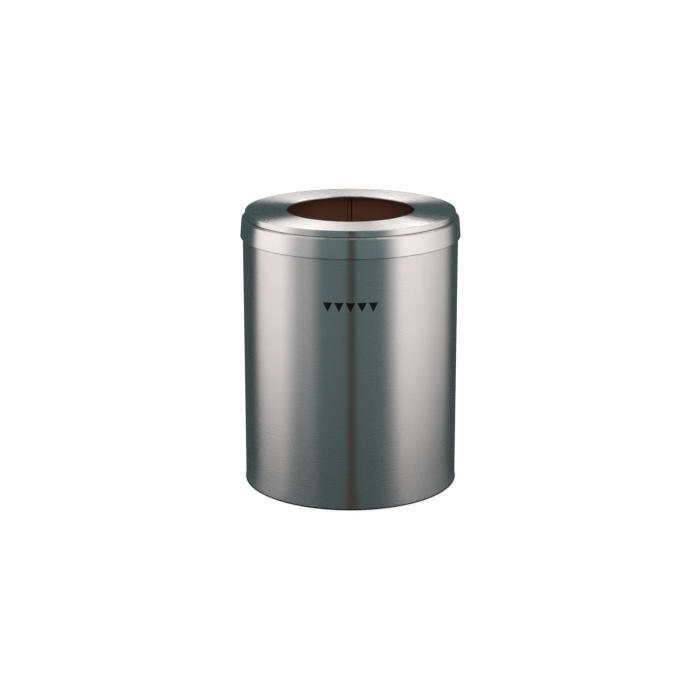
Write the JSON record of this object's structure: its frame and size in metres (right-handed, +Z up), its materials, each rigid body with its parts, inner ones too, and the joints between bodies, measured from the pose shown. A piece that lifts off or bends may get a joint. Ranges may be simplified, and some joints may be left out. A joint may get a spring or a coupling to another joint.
{
  "type": "recycling bin",
  "caption": "Round satin metal recycling bin with a stepped lift-off ring lid, an open round mouth, and a lift-out inner can with drop handles.",
  "frame": {"origin": "middle of the base, on the floor that the bin stands on", "axes": "+Z up along the bin's axis, -Y towards the front, +X to the right as seen from the front; both sheet seams are at the back, +Y"},
  "size_m": [0.5196, 0.5196, 0.66],
  "materials": {
    "satin_aluminium": "brushed round the body, satin anodised",
    "spun_aluminium": "spun and finely polished, brighter than the body",
    "rivet_aluminium": "satin",
    "galvanised_sheet": "galvanised, dull spangle",
    "black_vinyl": "matt",
    "brown_enamel": "dark brown sprayed enamel, satin",
    "zinc_wire": "zinc plated drawn wire",
    "zinc_lug": "zinc plated pressing",
    "rivet_steel": "zinc plated"
  },
  "bodies": {
    "body": {"body_shell": "satin_aluminium", "seam_rivets": "rivet_aluminium", "rim_wire": "zinc_wire", "base_pan": "galvanised_sheet", "base_trim": "black_vinyl"},
    "liner": {"liner_wall": "brown_enamel", "liner_bottom": "brown_enamel", "liner_rim_wire": "zinc_wire", "handle_lug_right_front": "zinc_lug", "handle_lug_right_rear": "zinc_lug", "handle_lug_left_front": "zinc_lug", "handle_lug_left_rear": "zinc_lug", "lug_rivets": "rivet_steel"},
    "lid": {"lid_shell": "spun_aluminium"},
    "left_handle": {"handle_left": "zinc_wire"},
    "right_handle": {"handle_right": "zinc_wire"}
  },
  "joints": [
    {"name": "liner_lift", "type": "slide", "parent": "body", "child": "liner", "axis": [0, 0, 1], "range_m": [0, 0.64]},
    {"name": "lid_lift", "type": "slide", "parent": "liner", "child": "lid", "axis": [0, 0, 1], "range_m": [0, 0.12]},
    {"name": "left_handle_swing", "type": "hinge", "parent": "liner", "child": "left_handle", "pos_m": [-0.22273, 0, 0.5893], "axis": [0, -1, 0], "range_deg": [-10, 190]},
    {"name": "right_handle_swing", "type": "hinge", "parent": "liner", "child": "right_handle", "pos_m": [0.22273, 0, 0.5893], "axis": [0, 1, 0], "range_deg": [-10, 190]}
  ]
}
